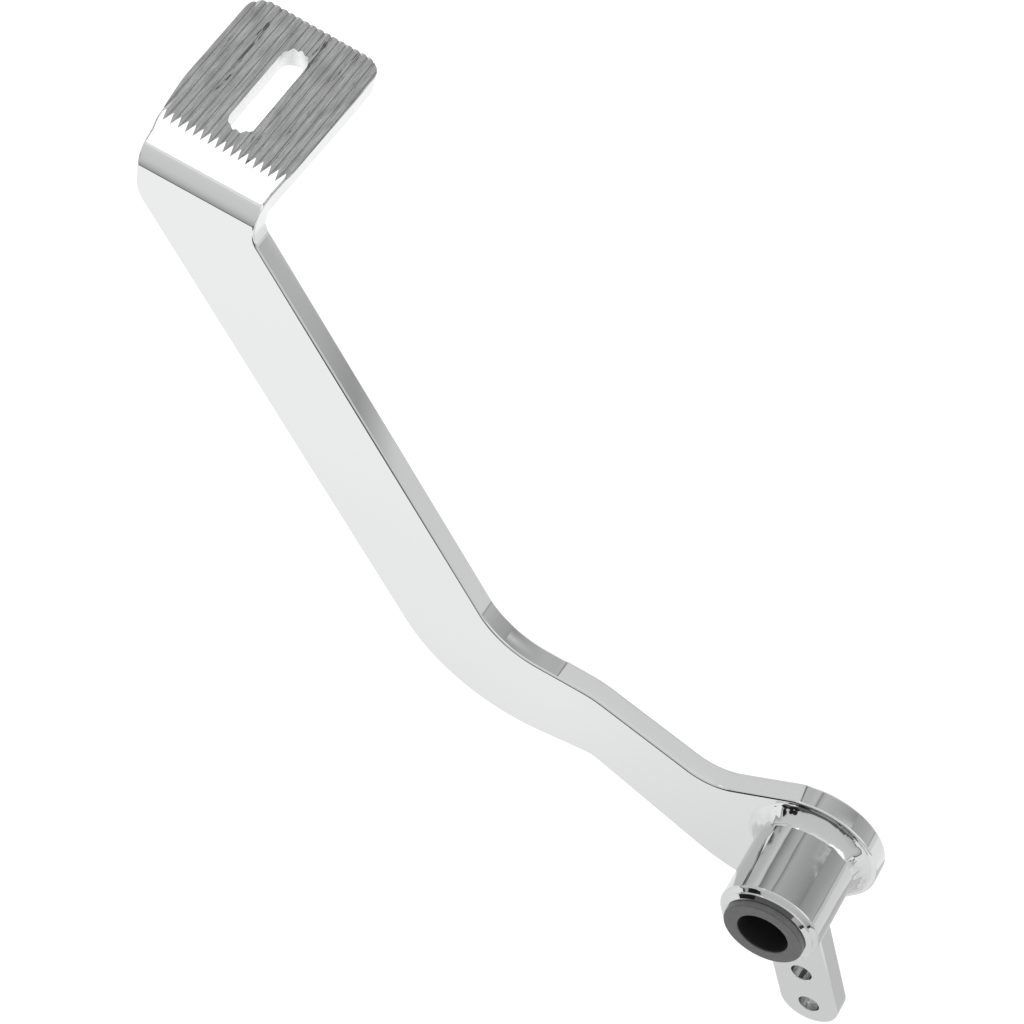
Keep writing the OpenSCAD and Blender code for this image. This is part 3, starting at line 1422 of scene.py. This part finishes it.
@dataclass
class FlangedBush:
    """A flanged bush in one end of the tube. Millimetres."""

    side: Side
    seat: float
    bore_r: float = 9.55
    bore_wall: float = 0.25
    sleeve_r: float = 11.75
    flange_r: float = 15.2
    flange_t: float = 2.4
    length: float = 17.0
    segments: int = 128
    crease: float = 35.0
    finish: BushResin = field(default_factory=lambda: BushResin("bush resin"))
    # Painted shade: the bore takes a near-black copy of the resin, for the shade deep inside it.
    bore_shade_finish: BushResin = field(
        default_factory=lambda: BushResin("bush bore with painted shade", dark=0.004, pale=0.008, rough=0.6)
    )

    def build(self) -> bpy.types.Object:
        """Makes and dresses the bush.

        Returns:
            The dressed piece.
        """
        corners = [
            (self.bore_r, -self.length, 0.3),
            (self.sleeve_r, -self.length, 0.3),
            (self.sleeve_r, 0.0, 0.0),
            (self.flange_r, 0.0, 0.15),
            (self.flange_r, self.flange_t, 0.7),
            (self.bore_r, self.flange_t, 0.75),
        ]
        profile = [(r, self.seat + self.side.value * y) for r, y in eased_profile(corners)]
        node = f"{self.side.name.lower()}_bush"
        obj = turned(f"{node}_skin", profile, self.segments, self.crease)
        even_shading(obj, self.crease)
        obj.data.materials.append(self.finish.build())
        obj.data.materials.append(self.bore_shade_finish.build())
        # Faces of the bore take the near-black finish, painted shade.
        for face in obj.data.polygons:
            if math.hypot(face.center.x, face.center.z) < (self.bore_r + self.bore_wall) * MM:
                face.material_index = 1
        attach(obj, BODY)
        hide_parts(node)
        return obj


# The studio


@dataclass(frozen=True)
class Card:
    """A glowing card that only reflections and soft light see. Metres.

    Args:
        name: Its name.
        low: Its corner with the lowest coordinates.
        high: The opposite corner, at the same height or at the same way inboard.
        glow: Its radiance.
    """

    name: str
    low: Point3
    high: Point3
    glow: float

    def build(self) -> bpy.types.Object:
        """Makes the card.

        Returns:
            The new object.
        """
        bm = bmesh.new()
        (x0, y0, z0), (x1, y1, z1) = self.low, self.high
        corners = ((x0, y0, z0), (x1, y0, z0), (x1, y1, z1), (x0, y1, z1))
        bm.faces.new([bm.verts.new(p) for p in corners])
        obj = finish_mesh(self.name, bm)
        mat, tree, shader = new_material(self.name)
        join(tree, (0, 0, 0, 1), shader.inputs["Base Color"])
        join(tree, 0.0, shader.inputs["Specular IOR Level"])
        join(tree, (1, 1, 1, 1), shader.inputs["Emission Color"])
        join(tree, self.glow, shader.inputs["Emission Strength"])
        obj.data.materials.append(mat)
        obj.visible_camera = False
        obj.visible_shadow = False
        obj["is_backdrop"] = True
        return obj


@dataclass(frozen=True)
class Look:
    """A direction that is looked along, as sockets of the room's node tree.

    Args:
        tree: The node tree.
        way: The direction.
        inboard: Its part along the pivot axis.
        turn: Its angle about the pivot axis, as a share of a full turn.
        tilt: Its angle about the way forward, as a share of a full turn.
    """

    tree: Tree
    way: Socket
    inboard: Socket
    turn: Socket
    tilt: Socket

    @classmethod
    def in_world(cls, tree: Tree) -> "Look":
        """Reads the direction in a world's node tree.

        Args:
            tree: The node tree.

        Returns:
            The direction.
        """
        way = tree.nodes.new("ShaderNodeTexCoord").outputs["Generated"]
        parts = add_node(tree, "ShaderNodeSeparateXYZ", Vector=way)
        x, y, z = (parts.outputs[axis] for axis in ("X", "Y", "Z"))
        turn, tilt = (
            remap(tree, calculate(tree, "ARCTAN2", z, run), -math.pi, math.pi) for run in (x, y)
        )
        return cls(tree, way, y, turn, tilt)

    def grey(self, angle: Socket, stops: Sequence[Point2]) -> Socket:
        """A grey for one of the two angles, from pairs of (angle in degrees, grey)."""
        return ramp(self.tree, angle, [((a + 180) / 360, grey) for a, grey in stops])

    def inboard_share(self, low: float, high: float) -> Socket:
        """A share that rises from 0 to 1 over a range of the part along the pivot axis."""
        return remap(self.tree, self.inboard, low, high)

    def turn_share(self, low: float, high: float, top: float = 1.0) -> Socket:
        """A share that rises from 0 to top over a range of the turn, in degrees."""
        return remap(self.tree, self.turn, (low + 180) / 360, (high + 180) / 360, 0.0, top)

    def product(self, first: Socket, *others: Socket) -> Socket:
        """The product of several shares.

        Args:
            first: The first share.
            others: The other shares.

        Returns:
            Their product.
        """
        result = first
        for other in others:
            result = calculate(self.tree, "MULTIPLY", result, other)
        return result


@dataclass
class Room:
    """The grey room that the plating mirrors.

    The direction's part along the pivot axis picks one of three zones: the dome in front, the
    ring of panels behind the hub, and the far zone beyond. The dome is graded by tilt, the two
    others by turn. Angles are in degrees and greys are radiances.
    """

    dome_stops: Sequence[Point2] = (
        (-180, 0.97), (-150, 0.97), (-100, 0.9), (-60, 0.5), (-21, 0.5), (-9, 0.64), (0, 0.73),
        (10, 0.81), (20, 0.86), (28, 0.9), (72, 0.94), (90, 0.985), (180, 0.97),
    )
    ring_stops: Sequence[Point2] = (
        (-180, 0.97), (-60, 0.84), (9, 0.82), (17, 0.9), (25, 1.05), (30, 1.0), (33, 0.3),
        (36, 0.42), (41, 0.52), (49, 0.68), (60, 0.78), (63, 0.7), (65, 0.3), (67.5, 0.6),
        (73, 0.72), (105, 0.575), (122, 0.49), (130, 0.42), (134, 0.53), (154, 0.6), (170, 0.7),
        (174.2, 0.7), (175, 0.42), (175.8, 0.45), (176.8, 0.94), (180, 0.97),
    )
    far_stops: Sequence[Point2] = (
        (-180, 0.9), (0, 0.9), (60, 1.0), (139, 1.0), (141, 0.12), (145, 0.12), (147, 0.62),
        (168, 0.62), (173, 0.9), (180, 0.9),
    )
    behind: Point2 = (-0.464, -0.466)
    beyond: Point2 = (-0.575, -0.58)
    seam: Point2 = (-0.478, -0.474)
    opening_way: Point3 = (0.74, 0.63, 0.2)
    opening_edge: Point2 = (0.982, 0.986)
    strip_reach: Point2 = (-0.5, 0.0)
    strip_stops: Sequence[Point2] = ((0.17, 0.0), (0.2, 1.0), (0.86, 1.0), (0.9, 0.0))
    strip_turns: Sequence[Point2] = (
        (60, 0.0), (66, 0.25), (118, 0.25), (126, 1.0), (158, 1.0), (163, 0.0),
    )
    black: tuple[float, float, float, float] = (0.02, 0.02, 0.02, 1)
    white: tuple[float, float, float, float] = (1.8, 1.8, 1.8, 1)

    def build(self) -> None:
        """Makes the room and hangs it round the scene."""
        world = bpy.data.worlds.new("room")
        world.use_nodes = True
        tree = world.node_tree
        tree.nodes.clear()
        look = Look.in_world(tree)
        near = blend(tree, look.inboard_share(*self.behind), self.dome(look), self.ring(look))
        far = look.grey(look.turn, self.far_stops)
        colour = blend(tree, look.inboard_share(*self.beyond), near, far)
        back = add_node(tree, "ShaderNodeBackground", Color=colour)
        add_node(tree, "ShaderNodeOutputWorld", Surface=back.outputs["Background"])
        bpy.context.scene.world = world

    def dome(self, look: Look) -> Socket:
        """The dome in front, with a dark opening and a bright strip low behind.

        Args:
            look: The direction that is looked along.

        Returns:
            The dome's colour.
        """
        tree = look.tree
        toward = tree.nodes.new("ShaderNodeVectorMath")
        toward.operation = "DOT_PRODUCT"
        join(tree, look.way, toward.inputs[0])
        join(tree, Vector(self.opening_way).normalized(), toward.inputs[1])
        opening = remap(tree, toward.outputs["Value"], *self.opening_edge)
        dome = blend(tree, opening, look.grey(look.tilt, self.dome_stops), self.black)
        strip = ramp(tree, look.inboard_share(*self.strip_reach), self.strip_stops)
        share = look.product(strip, look.grey(look.turn, self.strip_turns))
        return blend(tree, share, dome, self.white)

    def ring(self, look: Look) -> Socket:
        """The ring of panels behind the hub, with its dark seam, elbow light and tube wedge.

        Args:
            look: The direction that is looked along.

        Returns:
            The ring's colour.
        """
        tree = look.tree
        ring = look.grey(look.turn, self.ring_stops)
        ring = blend(tree, self.elbow_light(look), ring, self.white)
        ring = blend(tree, look.inboard_share(*self.seam), ring, self.black)
        return blend(tree, self.tube_wedge(look), ring, self.black)

    def elbow_light(self, look: Look) -> Socket:
        """The light that the hollow of the elbow shows along its front edge.

        Args:
            look: The direction that is looked along.

        Returns:
            The share of white.
        """
        front = look.inboard_share(-0.5305, -0.525)
        top = look.inboard_share(-0.5225, -0.5245)
        rise = look.turn_share(93.6, 129.96, 0.6)
        end = look.turn_share(132.012, 131.004)
        return look.product(front, top, rise, end)

    def tube_wedge(self, look: Look) -> Socket:
        """The dark wedge that the tube shows beside the weld.

        Args:
            look: The direction that is looked along.

        Returns:
            The share of black.
        """
        slope, edge = 5.14, (-2.166, -2.172)
        lean = calculate(look.tree, "MULTIPLY_ADD", look.inboard, slope, look.turn)
        inside = remap(look.tree, lean, *edge)
        start = look.turn_share(-25.92, -21.96)
        foot = look.inboard_share(-0.5265, -0.5255)
        return look.product(inside, start, foot)


@dataclass
class Studio:
    """Glowing pale floor, soft cards, the grey room and the camera. Metres."""

    floor_z: float
    floor_low: Point2 = (-1.2, -1.0)
    floor_high: Point2 = (1.3, 0.5)
    floor_reach: Point2 = (-0.2, 0.3)
    # Glow of the floor across the pivot axis; its dip near the pedal is painted shade.
    floor_shade_stops: Sequence[Point2] = (
        (0.0, 0.8), (0.26, 0.8), (0.4, 0.745), (0.46, 0.75), (0.54, 0.81), (0.6, 0.82),
        (0.64, 0.84), (0.74, 0.852), (1.0, 0.86),
    )
    hub_shade_reach: Point2 = (0.03, 0.12)
    hub_shade_gain: Point2 = (1.33, 1.5)
    lens: float = 110.04
    eye: Point3 = (-0.01114, 0.5855, 0.95942)
    right: Point3 = (-0.865305, -0.472355, 0.167715)
    up: Point3 = (0.480069, -0.684752, 0.548314)
    back: Point3 = (-0.144155, 0.554974, 0.819282)

    def camera(self) -> None:
        """Makes the camera at the photograph's viewing angle."""
        data = bpy.data.cameras.new("camera")
        data.lens, data.sensor_width = self.lens, 36.0
        data.clip_start, data.clip_end = 0.02, 20.0
        cam = bpy.data.objects.new("camera", data)
        turn = Matrix((self.right, self.up, self.back)).transposed().to_4x4()
        cam.matrix_world = Matrix.Translation(self.eye) @ turn
        bpy.context.collection.objects.link(cam)
        bpy.context.scene.camera = cam

    def floor(self) -> None:
        """Makes the pale floor, glowing as if lit from below, with painted shade: its glow is dimmer along
        the arm and towards the hub.
        """
        bm = bmesh.new()
        (x0, y0), (x1, y1) = self.floor_low, self.floor_high
        corners = ((x0, y0), (x1, y0), (x1, y1), (x0, y1))
        bm.faces.new([bm.verts.new((x, y, self.floor_z)) for x, y in corners])
        obj = finish_mesh("floor", bm)
        mat, tree, shader = new_material("pale floor with painted shade")
        place = tree.nodes.new("ShaderNodeTexCoord").outputs["Object"]
        parts = add_node(tree, "ShaderNodeSeparateXYZ", Vector=place)
        # Painted shade: the floor's glow is dimmer near the pedal and towards the hub.
        glow = ramp(tree, remap(tree, parts.outputs["Y"], *self.floor_reach), self.floor_shade_stops)
        gain = remap(tree, parts.outputs["X"], *self.hub_shade_reach, *self.hub_shade_gain)
        join(tree, (0.1, 0.1, 0.1, 1), shader.inputs["Base Color"])
        join(tree, 1.0, shader.inputs["Roughness"])
        join(tree, 0.0, shader.inputs["Specular IOR Level"])
        join(tree, (1, 1, 1, 1), shader.inputs["Emission Color"])
        join(tree, calculate(tree, "MULTIPLY", glow, gain), shader.inputs["Emission Strength"])
        obj.data.materials.append(mat)
        obj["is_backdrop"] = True

    def cards(self) -> list[Card]:
        """The cards over the pad, beside the arm and under the lug.

        Returns:
            The cards, not yet built.
        """
        floor, front = self.floor_z, self.floor_high[1]
        left, right = self.floor_low[0], self.floor_high[0]
        low = floor + 0.001
        strip_top = floor + 0.05
        return [
            Card("pad_card", (0.318, -0.213, 0.4), (0.402, -0.0805, 0.4), 2.1),
            Card("pad_card_frame", (0.314, -0.0805, 0.4), (0.406, -0.0763, 0.4), 0.4),
            Card("edge_flag", (0.13, 0.25, floor), (0.24, 0.25, 0.08), 0.02),
            Card("neck_flag", (-0.1, 0.25, floor), (0.13, 0.25, 0.08), 0.16),
            # Painted shadow: these cards glow dimmer than the floor under the lug and stand in for the
            # floor shaded by the pedal; the lug's plating mirrors them.
            Card("lug_shade_card", (-0.09, 0.0, low), (0.03, 0.034, low), 0.96),
            Card("lug_edge_shade_card", (-0.16, -0.09, low), (-0.03, -0.006, low), 0.75),
            Card("front_strip", (left, front, floor), (right, front, strip_top), 0.06),
        ]

    def build(self) -> None:
        """Makes the camera, the floor, the room and the cards."""
        self.camera()
        self.floor()
        Room().build()
        for card in self.cards():
            card.build()
        bpy.context.scene.view_settings.view_transform = "Standard"


def main(cad_box: tuple[Vector, Vector]) -> None:
    """Dresses the pedal and sets up the studio.

    Args:
        cad_box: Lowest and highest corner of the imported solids.
    """
    logging.basicConfig(level=logging.INFO, format="%(name)s: %(message)s")
    floor_gap = 0.0002
    Studio(floor_z=cad_box[0].z - floor_gap).build()
    tube = PivotTube()
    pieces = [
        ArmPlate(),
        tube,
        WeldBead(),
        FlangedBush(Side.INBOARD, tube.reach),
        FlangedBush(Side.OUTBOARD, -tube.thick),
    ]
    for piece in pieces:
        obj = piece.build()
        LOG.info("%s: %d faces", obj.name, len(obj.data.polygons))


if __name__ == "__main__":
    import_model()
    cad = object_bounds()
    main(cad)
